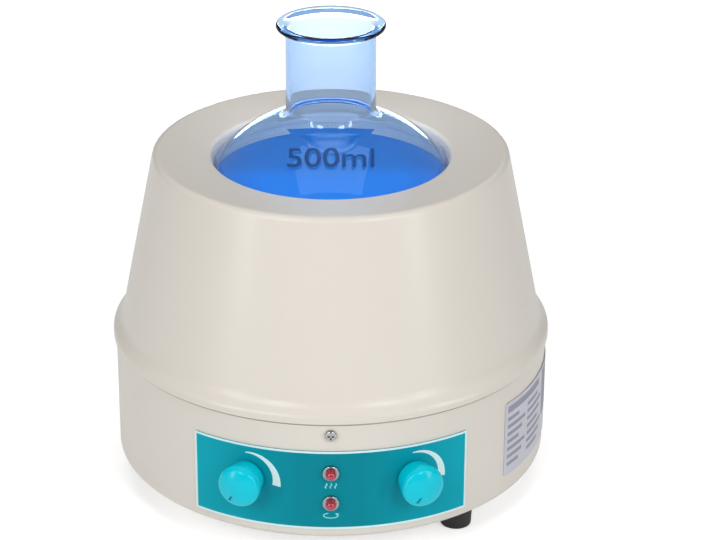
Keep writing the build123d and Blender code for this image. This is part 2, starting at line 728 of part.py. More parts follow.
def potentiometer(azimuth):
    """Round body behind the wall, three lugs, and a threaded bush through the wall."""
    front = BASE_INNER - POT_SETBACK
    bush_length = LABEL_OUTER + POT_BUSH_REACH - front
    body = Cylinder(POT_RADIUS, POT_DEPTH, align=DOWN)
    lug = Box(POT_LUG_WIDTH, POT_LUG_HEIGHT, POT_LUG_THICKNESS, align=BEHIND)
    for i in (-1, 0, 1):
        body += Pos(i * POT_LUG_PITCH, -POT_RADIUS + POT_LUG_WIDTH, -POT_DEPTH / 2) * lug
    body += Cylinder(POT_BUSH_RADIUS, bush_length, align=UP)
    bore_length = POT_DEPTH - POT_BACK + bush_length
    body -= Pos(0, 0, bush_length) * Cylinder(POT_SHAFT_RADIUS + RUNNING, bore_length, align=DOWN)
    return facing(azimuth, front, CONTROL_Z) * body


def pot_washer(azimuth):
    disc = Cylinder(POT_WASHER_RADIUS, POT_WASHER, align=UP)
    disc -= Cylinder(POT_BUSH_RADIUS + RUNNING, POT_WASHER, align=UP)
    return facing(azimuth, LABEL_OUTER + RUNNING, CONTROL_Z) * disc


def pot_nut(azimuth):
    seat = LABEL_OUTER + RUNNING + POT_WASHER
    return facing(azimuth, seat, CONTROL_Z) * hex_nut(POT_NUT_FLATS, POT_NUT, POT_BUSH_RADIUS + RUNNING)


def flatted(radius, length, flat):
    """Shaft rising from the origin with one flat along its lower side."""
    side = (Align.CENTER, Align.MIN, Align.MIN)
    keep = Pos(0, -flat, 0) * Box(2 * radius, 2 * radius, length, align=side)
    return Cylinder(radius, length, align=UP) & keep


def pot_shaft(azimuth):
    """Shaft from the potentiometer to the knob, flatted only inside the knob."""
    foot_at = BASE_INNER - POT_SETBACK - POT_DEPTH + POT_BACK + SLIDE
    flat_at = LABEL_OUTER + KNOB_LIFT + KNOB_CAVITY - SLIDE
    tip_at = LABEL_OUTER + KNOB_LIFT + KNOB_CAVITY + KNOB_BORE - SLIDE
    shaft = Cylinder(POT_SHAFT_RADIUS, flat_at - foot_at, align=UP)
    shaft += Pos(0, 0, flat_at - foot_at) * flatted(POT_SHAFT_RADIUS, tip_at - flat_at, POT_SHAFT_FLAT)
    return facing(azimuth, foot_at, CONTROL_Z) * shaft


def knob(azimuth):
    """Domed knob, widest near its face, hollow over the nut, with a D-shaped bore."""
    side_top = KNOB_LENGTH - KNOB_CROWN
    rim = (KNOB_RADIUS, side_top)
    half = make_face(
        [
            Line((0, 0), (KNOB_BASE_RADIUS, 0)),
            ThreePointArc(
                (KNOB_BASE_RADIUS, 0),
                ((KNOB_BASE_RADIUS + KNOB_RADIUS) / 2 + RUNNING, KNOB_WIDEST / 2),
                (KNOB_RADIUS, KNOB_WIDEST),
            ),
            Line((KNOB_RADIUS, KNOB_WIDEST), rim),
            RadiusArc(rim, (0, KNOB_LENGTH), crown_radius()),
            Line((0, KNOB_LENGTH), (0, 0)),
        ]
    )
    half = fillet(half.vertices().sort_by(Axis.X)[-2:].sort_by(Axis.Y)[-1], KNOB_FILLET)
    body = spin(half)
    body -= Cylinder(KNOB_CAVITY_RADIUS, KNOB_CAVITY, align=UP)
    bore = flatted(POT_SHAFT_RADIUS + RUNNING, KNOB_BORE, POT_SHAFT_FLAT + RUNNING)
    body -= Pos(0, 0, KNOB_CAVITY) * bore
    return facing(azimuth, LABEL_OUTER + KNOB_LIFT, CONTROL_Z) * body


def crown_radius():
    """Radius of the arc that rises by the crown over the knob's radius."""
    return -(KNOB_RADIUS**2 + KNOB_CROWN**2) / (2 * KNOB_CROWN)


def lamp(drop):
    """Domed lamp with a rear flange and two leads."""
    straight = LAMP_DEPTH + BEZEL_FLANGE + LAMP_PROUD
    body = Cylinder(LAMP_RADIUS, straight, align=UP)
    body += Cylinder(LAMP_RADIUS + LAMP_FLANGE, LAMP_FLANGE, align=DOWN)
    body += Pos(0, 0, straight) * Sphere(LAMP_RADIUS)
    lead = Box(LEAD, LEAD, LAMP_LEAD_LENGTH, align=DOWN)
    body += [Pos(x, 0, -LAMP_FLANGE) * lead for x in (-LEAD_PITCH / 2, LEAD_PITCH / 2)]
    return facing(0, LABEL_OUTER - LAMP_DEPTH, SEAM_Z - drop) * body


def lamp_bezel(drop):
    """Turned ring with a tube through the wall."""
    body = Cylinder(BEZEL_RADIUS, BEZEL_FLANGE, align=UP)
    body = fillet(body.edges().group_by(Axis.Z)[-1], BEZEL_FLANGE * ROUNDING)
    body += Cylinder(BEZEL_TUBE, BEZEL_DEPTH, align=DOWN)
    body -= Cylinder(LAMP_RADIUS + RUNNING, THROUGH)
    return facing(0, LABEL_OUTER + RUNNING, SEAM_Z - drop) * body


def lamp_nuts():
    disc = Cylinder(BEZEL_NUT_RADIUS, BEZEL_NUT, align=DOWN)
    disc -= Cylinder(BEZEL_TUBE + RUNNING, THROUGH)
    return group(facing(0, BASE_INNER - SEAT, SEAM_Z - drop) * disc for drop in LAMP_DROPS.values())


# ---------------------------------------------------------------- mains inlet and fuse
def mouth_outline():
    """The socket's outline: a rectangle with two corners cut off."""
    outline = Rectangle(INLET_MOUTH_WIDTH, INLET_MOUTH_HEIGHT)
    return chamfer(outline.vertices().group_by(Axis.X)[0], INLET_MOUTH_CHAMFER)


def mains_inlet():
    """Appliance inlet turned upright: flange outside, socket and body through the wall."""
    flange = extrude(RectangleRounded(INLET_WIDTH, INLET_HEIGHT, INLET_CORNER), INLET_FLANGE)
    flange = chamfer(flange.edges().group_by(Axis.Z)[-1], INLET_EDGE)
    body = flange + Box(INLET_BODY_WIDTH, INLET_BODY_HEIGHT, INLET_BODY_DEPTH, align=DOWN)
    socket = extrude(mouth_outline(), INLET_MOUTH_DEPTH)
    body -= Pos(0, 0, INLET_FLANGE - INLET_MOUTH_DEPTH) * socket
    slot = Box(PIN_WIDTH + 2 * RUNNING, PIN_HEIGHT + 2 * RUNNING, INLET_BODY_DEPTH, align=DOWN)
    body -= [Pos(x, y, 0) * slot for x, y in pin_spots()]
    return facing(REAR_AZ, LAND_Y, INLET_Z) * body


def pin_spots():
    """Line and neutral on one side of the socket's middle, earth on the other."""
    return [(PIN_OFFSET, PIN_SPREAD), (PIN_OFFSET, -PIN_SPREAD), (-PIN_OFFSET, 0)]


def inlet_pins():
    length = INLET_FLANGE - PIN_SETBACK + INLET_BODY_DEPTH + PIN_TAIL
    pin = Pos(0, 0, INLET_FLANGE - PIN_SETBACK) * Box(PIN_WIDTH, PIN_HEIGHT, length, align=DOWN)
    pins = [Pos(x, y, 0) * pin for x, y in pin_spots()]
    return group(facing(REAR_AZ, LAND_Y, INLET_Z) * one for one in pins)


def fuse_holder():
    body = Cylinder(FUSE_FLANGE_RADIUS, FUSE_FLANGE, align=UP)
    body += Cylinder(FUSE_BODY_RADIUS, FUSE_BODY_DEPTH, align=DOWN)
    body -= Pos(0, 0, FUSE_FLANGE) * Cylinder(FUSE_BORE_RADIUS, FUSE_FLANGE + CAP_SPIGOT, align=DOWN)
    return facing(REAR_AZ, LAND_Y, FUSE_Z) * body


def fuse_nut():
    disc = Cylinder(FUSE_NUT_RADIUS, FUSE_NUT, align=DOWN)
    disc -= Cylinder(FUSE_BODY_RADIUS + RUNNING, FUSE_NUT, align=DOWN)
    return facing(REAR_AZ, LAND_Y - SHEET, FUSE_Z) * disc


def fuse_cap():
    """Screw-in cap with a coin slot."""
    head = Cylinder(CAP_RADIUS, CAP_HEIGHT, align=UP)
    head = fillet(head.edges().group_by(Axis.Z)[-1], CAP_FILLET)
    head -= Pos(0, 0, CAP_HEIGHT) * Box(2 * CAP_RADIUS, CAP_SLOT, 2 * CAP_SLOT)
    head += Cylinder(FUSE_BORE_RADIUS - RUNNING, CAP_SPIGOT, align=DOWN)
    return facing(REAR_AZ, LAND_Y + FUSE_FLANGE, FUSE_Z) * head


# ---------------------------------------------------------------- electronics in the base
def standoff_places(z):
    reach_x = BOARD_LENGTH / 2 - STANDOFF_INSET
    reach_y = BOARD_DEPTH / 2 - STANDOFF_INSET
    return [Pos(x, BOARD_Y + y, z) for x in (-reach_x, reach_x) for y in (-reach_y, reach_y)]


def board_standoffs():
    post = Cylinder(STANDOFF_RADIUS, BOARD_LIFT, align=UP)
    post += Cylinder(BOARD_HOLE - RUNNING, BOARD_LIFT + BOARD_THICKNESS, align=UP)
    return group(place * post for place in standoff_places(FLOOR_Z))


def control_board():
    board = Pos(0, BOARD_Y, BOARD_Z) * Box(BOARD_LENGTH, BOARD_DEPTH, BOARD_THICKNESS, align=UP)
    hole = Cylinder(BOARD_HOLE, THROUGH)
    return board - [place * hole for place in standoff_places(BOARD_Z)]


def transformer():
    core = Box(CORE_LENGTH, CORE_DEPTH, CORE_HEIGHT, align=UP)
    coil = Box(COIL_LENGTH, COIL_DEPTH, COIL_HEIGHT, align=UP)
    coil = fillet(coil.edges().filter_by(Axis.Z), COIL_FILLET)
    coil = Pos(0, 0, (CORE_HEIGHT - COIL_HEIGHT) / 2) * coil
    return Pos(TRANSFORMER_X, BOARD_Y, BOARD_TOP) * (core + coil)


def capacitor():
    can = Cylinder(CAPACITOR_RADIUS, CAPACITOR_HEIGHT, align=UP)
    can = fillet(can.edges().group_by(Axis.Z)[-1], CAPACITOR_FILLET)
    return Pos(CAPACITOR_X, CAPACITOR_Y, BOARD_TOP) * can


def heatsink():
    """Flat back with upright fins on its far side."""
    back = Rectangle(SINK_LENGTH, SINK_BACK, align=(Align.CENTER, Align.MIN))
    fin = Rectangle(SINK_FIN, SINK_BACK + SINK_FIN_DEPTH, align=(Align.CENTER, Align.MIN))
    pitch = (SINK_LENGTH - SINK_FIN) / (SINK_FIN_COUNT - 1)
    fins = [Pos(i * pitch - (SINK_LENGTH - SINK_FIN) / 2, 0) * fin for i in range(SINK_FIN_COUNT)]
    return Pos(SINK_X, SINK_Y, BOARD_TOP) * extrude(back + fins, SINK_HEIGHT)


def triac():
    """Power switch against the flat side of its heatsink."""
    face = (Align.CENTER, Align.MAX, Align.MIN)
    body = Box(TRIAC_WIDTH, TRIAC_THICKNESS, TRIAC_HEIGHT, align=face)
    for i in (-1, 0, 1):
        leg = Box(LEAD, LEAD, TRIAC_LIFT, align=BEHIND)
        body += Pos(i * LEAD_PITCH, -TRIAC_THICKNESS / 2, 0) * leg
    return Pos(SINK_X, SINK_Y, BOARD_TOP + TRIAC_LIFT) * body


def terminal_block():
    block = Box(BLOCK_LENGTH, BLOCK_DEPTH, BLOCK_HEIGHT, align=UP)
    pitch = BLOCK_LENGTH / BLOCK_WAYS
    hole = Pos(0, 0, BLOCK_HEIGHT) * Cylinder(BLOCK_HOLE, BLOCK_HOLE_DEPTH, align=DOWN)
    block -= [Pos((i + 0.5) * pitch - BLOCK_LENGTH / 2, 0, 0) * hole for i in range(BLOCK_WAYS)]
    return Pos(BLOCK_X, BLOCK_Y, BOARD_TOP) * block


# ---------------------------------------------------------------- all pieces
def all_parts():
    parts = {
        "flask": flask(),
        "flask_liquid": flask_liquid(),
        "heater_cup": heater_cup(),
        "heater_winding": heater_winding(),
        "insulation": insulation(),
        "insulation_can": insulation_can(),
        "thermal_cutout": thermal_cutout(),
        "upper_housing": upper_housing(),
        "base_housing": base_housing(),
        "deck_plate": deck_plate(),
        "side_screws": side_screws(),
        "housing_pillars": housing_pillars(),
        "pillar_screws": pillar_screws(),
        "bottom_plate": bottom_plate(),
        "bottom_plate_screws": bottom_plate_screws(),
        "foot_screws": foot_screws(),
        "foot_nuts": foot_nuts(),
        "stirrer_motor": stirrer_motor(),
        "motor_screws": motor_screws(),
        "stirrer_shaft": stirrer_shaft(),
        "magnet_carrier": magnet_carrier(),
        "stirrer_magnets": stirrer_magnets(),
        "control_label": control_label(),
        "rating_label": rating_label(),
        "lamp_nuts": lamp_nuts(),
        "mains_inlet": mains_inlet(),
        "inlet_pins": inlet_pins(),
        "fuse_holder": fuse_holder(),
        "fuse_nut": fuse_nut(),
        "fuse_cap": fuse_cap(),
        "board_standoffs": board_standoffs(),
        "control_board": control_board(),
        "transformer": transformer(),
        "capacitor": capacitor(),
        "heatsink": heatsink(),
        "triac": triac(),
        "terminal_block": terminal_block(),
    }
    for name, place in zip(("front_right_foot", "rear_foot", "left_foot"), foot_places(0)):
        parts[name] = place * foot()
    for name, azimuth in CONTROLS.items():
        parts[f"{name}_potentiometer"] = potentiometer(azimuth)
        parts[f"{name}_washer"] = pot_washer(azimuth)
        parts[f"{name}_nut"] = pot_nut(azimuth)
        parts[f"{name}_shaft"] = pot_shaft(azimuth)
        parts[f"{name}_knob"] = knob(azimuth)
    for name, drop in LAMP_DROPS.items():
        parts[name] = lamp(drop)
        parts[f"{name}_bezel"] = lamp_bezel(drop)
    return parts


os.makedirs("parts", exist_ok=True)
for name, shape in all_parts().items():
    export_step(shape, f"parts/{name}.step")
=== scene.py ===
"""Looks of a heating mantle with a flask of blue liquid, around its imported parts.

Metres, +Z up, front towards -Y. Every new surface is a grid of points worked out with numpy, and
each function's docstring gives its formula.
"""

import json
from math import atan2, cos, degrees, pi, radians, sin, sqrt

import bmesh
import bpy
import numpy as np
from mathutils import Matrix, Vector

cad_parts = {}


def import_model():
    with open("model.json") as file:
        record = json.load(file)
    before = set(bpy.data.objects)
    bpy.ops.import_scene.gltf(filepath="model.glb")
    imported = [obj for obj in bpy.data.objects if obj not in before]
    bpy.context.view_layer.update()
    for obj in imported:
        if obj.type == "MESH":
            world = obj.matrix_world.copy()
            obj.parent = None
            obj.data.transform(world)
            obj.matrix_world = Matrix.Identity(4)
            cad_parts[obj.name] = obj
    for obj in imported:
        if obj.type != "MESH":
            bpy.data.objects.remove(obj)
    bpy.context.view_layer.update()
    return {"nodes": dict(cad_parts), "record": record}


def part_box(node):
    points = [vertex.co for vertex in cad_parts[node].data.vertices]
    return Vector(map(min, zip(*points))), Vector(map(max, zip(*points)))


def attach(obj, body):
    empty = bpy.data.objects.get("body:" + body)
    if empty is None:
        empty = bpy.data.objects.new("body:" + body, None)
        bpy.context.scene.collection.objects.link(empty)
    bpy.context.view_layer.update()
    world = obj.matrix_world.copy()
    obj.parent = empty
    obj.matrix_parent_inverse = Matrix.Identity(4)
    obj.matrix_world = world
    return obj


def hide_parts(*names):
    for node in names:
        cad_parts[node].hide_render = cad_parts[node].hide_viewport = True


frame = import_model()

# ---------------------------------------------------------------- sizes read from the frame
NODES = frame["nodes"]
FLASK_LOW, FLASK_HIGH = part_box("flask")
LIQUID_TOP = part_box("flask_liquid")[1].z
LABEL_LOW, LABEL_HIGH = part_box("control_label")
RATING_LOW, RATING_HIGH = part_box("rating_label")
KNOB_LOW, KNOB_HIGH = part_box("stir_knob")
HEAT_LAMP_LOW, HEAT_LAMP_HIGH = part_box("heat_lamp")
STIR_LAMP_LOW, STIR_LAMP_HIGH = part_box("stir_lamp")

# ---------------------------------------------------------------- flask
BULB_RADIUS = FLASK_HIGH.x
WIDEST_Z = FLASK_LOW.z + BULB_RADIUS
DOME_GAIN = 0.017  # the dome's radius over the bulb's
DOME_RADIUS = BULB_RADIUS + DOME_GAIN
BLEND_RADIUS = 0.007  # tight arc from the bulb to the dome
NECK_RADIUS = 0.0215
NECK_FILLET = 0.007
GLASS_WALL = 0.002
RIM_TOP = FLASK_HIGH.z
RIM_THICKNESS = 0.0026
RIM_OVERHANG = 0.0045
RIM_FILLET = 0.002
MOUTH_ROUNDING = 0.004
LIQUID_GAP = 0.0001  # between the liquid and the glass
MENISCUS = 0.0012  # climb of the liquid at the wall
MENISCUS_REACH = 0.0025
SIDE_POINTS = 48  # points on each long arc of the flask's side
SURFACE_RINGS = 60
TURN_STEPS = 160

# ---------------------------------------------------------------- painted shadow along the housing's seam
SEAM_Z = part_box("upper_housing")[0].z
BASE_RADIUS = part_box("base_housing")[1].x
SEAM_SHADOW_PROUD = 0.0003  # past the base's outside
SEAM_SHADOW_HALF_HEIGHT = 0.00062
SEAM_SHADOW_STEPS = 240

# ---------------------------------------------------------------- print on the labels
LABEL_RADIUS = -LABEL_LOW.y
INK = 0.00003  # thickness of print over its surface
BORDER = 0.0011
KNOB_AZ = 21.3  # degrees from the front to each knob
KNOB_Z = (KNOB_LOW.z + KNOB_HIGH.z) / 2
KNOB_REACH = 0.0142  # top of a knob's crown over the label
CROWN_RADIUS = 0.0211
POINTER_AT = radians(240)
POINTER_FROM, POINTER_TO = 0.0045, 0.0080
POINTER_WIDTH = 0.0010
WEDGE_INNER = 0.0124
WEDGE_THIN, WEDGE_THICK = 0.0005, 0.0040
WEDGE_FROM, WEDGE_TO = 94.0, -11.0  # degrees
CAPTION_DROP = 0.0068  # lamp's middle to its sign
CAPTION_TALL = 0.0026
STROKE = 0.0005
WAVE_PITCH = 0.0022
WAVE_SWING = 0.0004
ARROW_REACH = 0.0034
ARROW_FROM, ARROW_NECK, ARROW_TIP = -250, 20, 55  # degrees round the ellipse
ARROW_HEAD, ARROW_POINT = 0.0018, 0.0001

RATING_AZ = (51.1, 88.3)  # degrees from the front to the label's two sides
RATING_RADIUS = RATING_HIGH.x / sin(radians(RATING_AZ[1]))
RATING_EDGE = 0.002
# the rating print's layout, as shares of its width and height
HEADING_WIDE, HEADING_TALL = 0.55, 0.10
RATING_ROWS = 7
ROWS_FROM, ROW_STEP, ROW_TALL = 0.17, 0.115, 0.055
COLUMNS = ((0.0, 0.16), (0.30, 0.52))
RAGGED = 0.05
BLOCK_FROM, BLOCK_LOW = 0.66, 0.30

MARK_SIZE = 0.0170
MARK_WEIGHT = 0.00012  # how far each letter's outline is moved out
MARK_SQUASH = 0.77
MARK_RISE = 0.0413
STAMP_TILT = radians(25)

# ---------------------------------------------------------------- camera and light
CAMERA_AT = (0.0, -1.08918, 0.60155)
CAMERA_PITCH = 0.43044  # radians below level
CAMERA_LENS = 122.71
CAMERA_SHIFT = (0.037876, 0.004685)
WORLD_LIGHT = 0.08
MIRRORED_SKY = 0.12  # share of the sky's white that gloss mirrors
MIRRORED_FLOOR = 0.4
FLOOR_REACH = 6.0
FLOOR_GREY = 0.90
FLOOR_GLOW = 0.5  # up to NEAR from the middle, from where it rises to 1 at FAR
NEAR, FAR = 0.35, 1.2
AIM = (0.0, 0.0, 0.1)
# name, azimuth, height, distance, width, tall, power, whether gloss mirrors it
SOFTBOXES = (
    ("left_softbox", -50, 0.5, 1.3, 0.14, 0.9, 4.0, True),
    ("right_softbox", 50, 0.5, 1.3, 0.14, 0.9, 4.0, True),
    ("left_front_softbox", -28, 0.9, 1.3, 0.3, 0.6, 5.0, True),
    ("right_front_softbox", 28, 0.9, 1.3, 0.3, 0.6, 5.0, True),
    ("top_softbox", 0, 1.8, 0.01, 1.4, 1.4, 13.0, False),
    ("rear_softbox", 180, 0.08, 1.3, 0.9, 0.14, 9.0, False),
)


# ---------------------------------------------------------------- mesh helpers
def mesh_from_grid(name, points, closed_rows=False, closed_columns=False):
    """Object whose mesh joins each point of a grid to its neighbours in quads.

    points[i, j] is the surface at row i and column j. A closed direction joins its last line to
    its first.
    """
    rows, columns = points.shape[:2]
    index = np.arange(rows * columns).reshape(rows, columns)
    if closed_rows:
        index = np.concatenate([index, index[:1]], axis=0)
    if closed_columns:
        index = np.concatenate([index, index[:, :1]], axis=1)
    quads = np.stack([index[:-1, :-1], index[1:, :-1], index[1:, 1:], index[:-1, 1:]], axis=-1)
    mesh = bpy.data.meshes.new(name)
    mesh.from_pydata(points.reshape(-1, 3).tolist(), [], quads.reshape(-1, 4).tolist())
    thing = bpy.data.objects.new(name, mesh)
    bpy.context.scene.collection.objects.link(thing)
    return thing


def clean(thing):
    """Merge the doubled points at poles and seams, turn the faces outwards and shade smooth."""
    work = bmesh.new()
    work.from_mesh(thing.data)
    bmesh.ops.remove_doubles(work, verts=work.verts, dist=1e-7)
    bmesh.ops.recalc_face_normals(work, faces=work.faces)
    work.to_mesh(thing.data)
    work.free()
    thing.data.polygons.foreach_set("use_smooth", [True] * len(thing.data.polygons))
    return thing


def arc(center, radius, start, stop, count):
    """Points (r, z) of a circle's arc: the center plus the radius times (cos t, sin t)."""
    t = np.radians(np.linspace(start, stop, count))
    return np.stack([center[0] + radius * np.cos(t), center[1] + radius * np.sin(t)], axis=1)


def turned(name, profile):
    """Closed surface of revolution: (r, z) goes to (r cos a, r sin a, z) for each angle a."""
    a = np.linspace(0, 2 * pi, TURN_STEPS, endpoint=False)
    r, z = profile[:, 0:1], profile[:, 1:2]
    grid = np.stack([r * np.cos(a), r * np.sin(a), z + 0 * a], axis=-1)
    return clean(mesh_from_grid(name, grid, closed_columns=True))


def wrapped(radius, across, up):
    """Points on an upright cylinder: across is the arc length from the front, up is the height."""
    a = across / radius
    return np.stack([radius * np.sin(a), -radius * np.cos(a), up], axis=-1)


def join(name, things):
    """One object from several, each of which keeps its own faces."""
    work = bmesh.new()
    for thing in things:
        work.from_mesh(thing.data)
    mesh = bpy.data.meshes.new(name)
    work.to_mesh(mesh)
    work.free()
    for thing in things:
        bpy.data.objects.remove(thing)
    whole = bpy.data.objects.new(name, mesh)
    bpy.context.scene.collection.objects.link(whole)
    return whole


# ---------------------------------------------------------------- shared shader groups
BROAD_SCALE, BROAD_DETAIL = 14.0, 4.0
SHINE_SWING = 0.1


def new_group(name, inputs, outputs):
    """Empty shader node group with named sockets: (label, socket type, default value)."""
    tree = bpy.data.node_groups.new(name, "ShaderNodeTree")
    for label, kind, value in inputs:
        tree.interface.new_socket(label, in_out="INPUT", socket_type=kind).default_value = value
    for label, kind in outputs:
        tree.interface.new_socket(label, in_out="OUTPUT", socket_type=kind)
    return tree, tree.nodes.new("NodeGroupInput"), tree.nodes.new("NodeGroupOutput")


def math_node(tree, operation, first, second=0.0):
    """Math node whose two inputs are sockets or plain numbers."""
    node = tree.nodes.new("ShaderNodeMath")
    node.operation = operation
    for socket, value in zip(node.inputs, (first, second)):
        if isinstance(value, (int, float)):
            socket.default_value = value
        else:
            tree.links.new(value, socket)
    return node.outputs[0]


def noise_node(tree, vector, scale, detail=2.0):
    """Noise value between 0 and 1 at a vector socket."""
    node = tree.nodes.new("ShaderNodeTexNoise")
    node.inputs["Detail"].default_value = detail
    tree.links.new(vector, node.inputs["Vector"])
    if isinstance(scale, (int, float)):
        node.inputs["Scale"].default_value = scale
    else:
        tree.links.new(scale, node.inputs["Scale"])
    return node.outputs["Fac"]


def speckle_group():
    """Fine and broad noise: a surface height, and tones about 1 for colour and roughness."""
    floats = "NodeSocketFloat"
    inputs = [
        ("Vector", "NodeSocketVector", (0, 0, 0)),
        ("Grain", floats, 900.0),
        ("Depth", floats, 0.1),
    ]
    outputs = [("Height", floats), ("Tone", floats), ("Shine", floats)]
    tree, given, out = new_group("speckle", inputs, outputs)
    fine = noise_node(tree, given.outputs["Vector"], given.outputs["Grain"])
    broad = noise_node(tree, given.outputs["Vector"], BROAD_SCALE, BROAD_DETAIL)
    swing = math_node(tree, "MULTIPLY", given.outputs["Depth"], broad)
    middle = math_node(tree, "MULTIPLY", given.outputs["Depth"], 0.5)
    tone = math_node(tree, "ADD", math_node(tree, "SUBTRACT", swing, middle), 1.0)
    about_zero = math_node(tree, "SUBTRACT", fine, 0.5)
    fine_swing = math_node(tree, "MULTIPLY", about_zero, SHINE_SWING)
    tree.links.new(fine, out.inputs["Height"])
    tree.links.new(tone, out.inputs["Tone"])
    tree.links.new(math_node(tree, "ADD", tone, fine_swing), out.inputs["Shine"])
    return tree


def weave_group():
    """Plain weave: two crossed waves, each over where the other is under."""
    floats = "NodeSocketFloat"
    tree, given, out = new_group(
        "weave",
        [("Across", floats, 0.0), ("Along", floats, 0.0), ("Pitch", floats, 0.001)],
        [("Height", floats)],
    )
    warp = math_node(tree, "DIVIDE", given.outputs["Across"], given.outputs["Pitch"])
    weft = math_node(tree, "DIVIDE", given.outputs["Along"], given.outputs["Pitch"])
    warp_wave = math_node(tree, "SINE", math_node(tree, "MULTIPLY", warp, pi))
    weft_wave = math_node(tree, "SINE", math_node(tree, "MULTIPLY", weft, pi))
    product = math_node(tree, "MULTIPLY", warp_wave, weft_wave)
    tree.links.new(math_node(tree, "ABSOLUTE", product), out.inputs["Height"])
    return tree


SPECKLE = speckle_group()
WEAVE = weave_group()


# ---------------------------------------------------------------- materials
BEIGE = (0.72, 0.675, 0.61)
LIT_FRONT_BLUE = (0.0, 0.16, 0.52)
SHADED_BACK_BLUE = (0.005, 0.12, 0.36)
PAINTED_LIGHT_BLUES = ((0.42, LIT_FRONT_BLUE), (0.62, SHADED_BACK_BLUE))  # painted light and shade: shares of the way from front to back
CLOTH_ROUGH = 0.85
PAINTED_WEAVE_SHADE = 0.55  # painted shade between the threads: colour there as a share of the cloth's


def principled(name, color, rough, **sockets):
    """Material with one Principled shader. Extra sockets are named with _ for a space."""
    made = bpy.data.materials.new(name)
    made.use_nodes = True
    shader = made.node_tree.nodes["Principled BSDF"]
    shader.inputs["Base Color"].default_value = (*color, 1.0)
    shader.inputs["Roughness"].default_value = rough
    for label, value in sockets.items():
        shader.inputs[label.replace("_", " ")].default_value = value
    return made, made.node_tree, shader


def object_vector(tree):
    """Socket with the object's own coordinates."""
    return tree.nodes.new("ShaderNodeTexCoord").outputs["Object"]


def object_axes(tree):
    """Sockets X, Y and Z of the object's own coordinates."""
    split = tree.nodes.new("ShaderNodeSeparateXYZ")
    tree.links.new(object_vector(tree), split.inputs[0])
    return split.outputs


def bump(tree, shader, height, distance):
    """Feed a height through a Bump node into the shader's normal."""
    node = tree.nodes.new("ShaderNodeBump")
    node.inputs["Distance"].default_value = distance
    tree.links.new(height, node.inputs["Height"])
    tree.links.new(node.outputs["Normal"], shader.inputs["Normal"])


def scaled(tree, factor):
    """Node that scales a colour by a factor's socket: its input 0 takes the colour."""
    node = tree.nodes.new("ShaderNodeVectorMath")
    node.operation = "SCALE"
    tree.links.new(factor, node.inputs["Scale"])
    return node


def fade_node(tree, value, near, far, start, end):
    """Socket that goes from start to end while a value goes from near to far."""
    fade = tree.nodes.new("ShaderNodeMapRange")
    tree.links.new(value, fade.inputs["Value"])
    for label, level in (("From Min", near), ("From Max", far), ("To Min", start), ("To Max", end)):
        fade.inputs[label].default_value = level
    return fade.outputs[0]


def speckled(name, color, rough, grain, depth, relief, **sockets):
    """Principled finish whose colour, roughness and normal vary with the speckle group."""
    made, tree, shader = principled(name, color, rough, **sockets)
    group = tree.nodes.new("ShaderNodeGroup")
    group.node_tree = SPECKLE
    group.inputs["Grain"].default_value = grain
    group.inputs["Depth"].default_value = depth
    tree.links.new(object_vector(tree), group.inputs["Vector"])
    tint = scaled(tree, group.outputs["Tone"])
    tint.inputs[0].default_value = color
    tree.links.new(tint.outputs[0], shader.inputs["Base Color"])
    gloss = math_node(tree, "MULTIPLY", group.outputs["Shine"], rough)
    tree.links.new(gloss, shader.inputs["Roughness"])
    bump(tree, shader, group.outputs["Height"], relief)
    return made


def painted_side_light(made, end, near, far):
    """Painted light on both sides: scale a finish's colour towards the sides, times 1 up to near
    and times end from far.
    """
    tree, shader = made.node_tree, made.node_tree.nodes["Principled BSDF"]
    tone = shader.inputs["Base Color"].links[0].from_socket
    sideways = math_node(tree, "ABSOLUTE", object_axes(tree)["X"])
    faded = scaled(tree, fade_node(tree, sideways, near, far, 1.0, end))
    tree.links.new(tone, faded.inputs[0])
    tree.links.new(faded.outputs[0], shader.inputs["Base Color"])
    return made


def woven(name, color, pitch, relief):
    """Cloth wrapped round the axis: the weave runs round and up the surface, with painted shade
    between the threads.
    """
    made, tree, shader = principled(name, color, CLOTH_ROUGH)
    axes = object_axes(tree)
    angle = math_node(tree, "ARCTAN2", axes["Y"], axes["X"])
    group = tree.nodes.new("ShaderNodeGroup")
    group.node_tree = WEAVE
    group.inputs["Pitch"].default_value = pitch
    tree.links.new(math_node(tree, "MULTIPLY", angle, BULB_RADIUS), group.inputs["Across"])
    tree.links.new(axes["Z"], group.inputs["Along"])
    bump(tree, shader, group.outputs["Height"], relief)
    # painted shade: the colour darkens where the weave is low
    ramp = tree.nodes.new("ShaderNodeValToRGB")
    ramp.color_ramp.elements[0].color = (*(PAINTED_WEAVE_SHADE * c for c in color), 1)
    ramp.color_ramp.elements[1].color = (*color, 1)
    tree.links.new(group.outputs["Height"], ramp.inputs["Fac"])
    tree.links.new(ramp.outputs["Color"], shader.inputs["Base Color"])
    return made


def clear(name, ior, absorb, density):
    """Clear body: full transmission, and a volume that takes up light along its depth."""
    made, tree, _ = principled(name, (1.0, 1.0, 1.0), 0.0, IOR=ior, Transmission_Weight=1.0)
    volume = tree.nodes.new("ShaderNodeVolumeAbsorption")
    volume.inputs["Color"].default_value = (*absorb, 1.0)
    volume.inputs["Density"].default_value = density
    tree.links.new(volume.outputs[0], tree.nodes["Material Output"].inputs["Volume"])
    return made


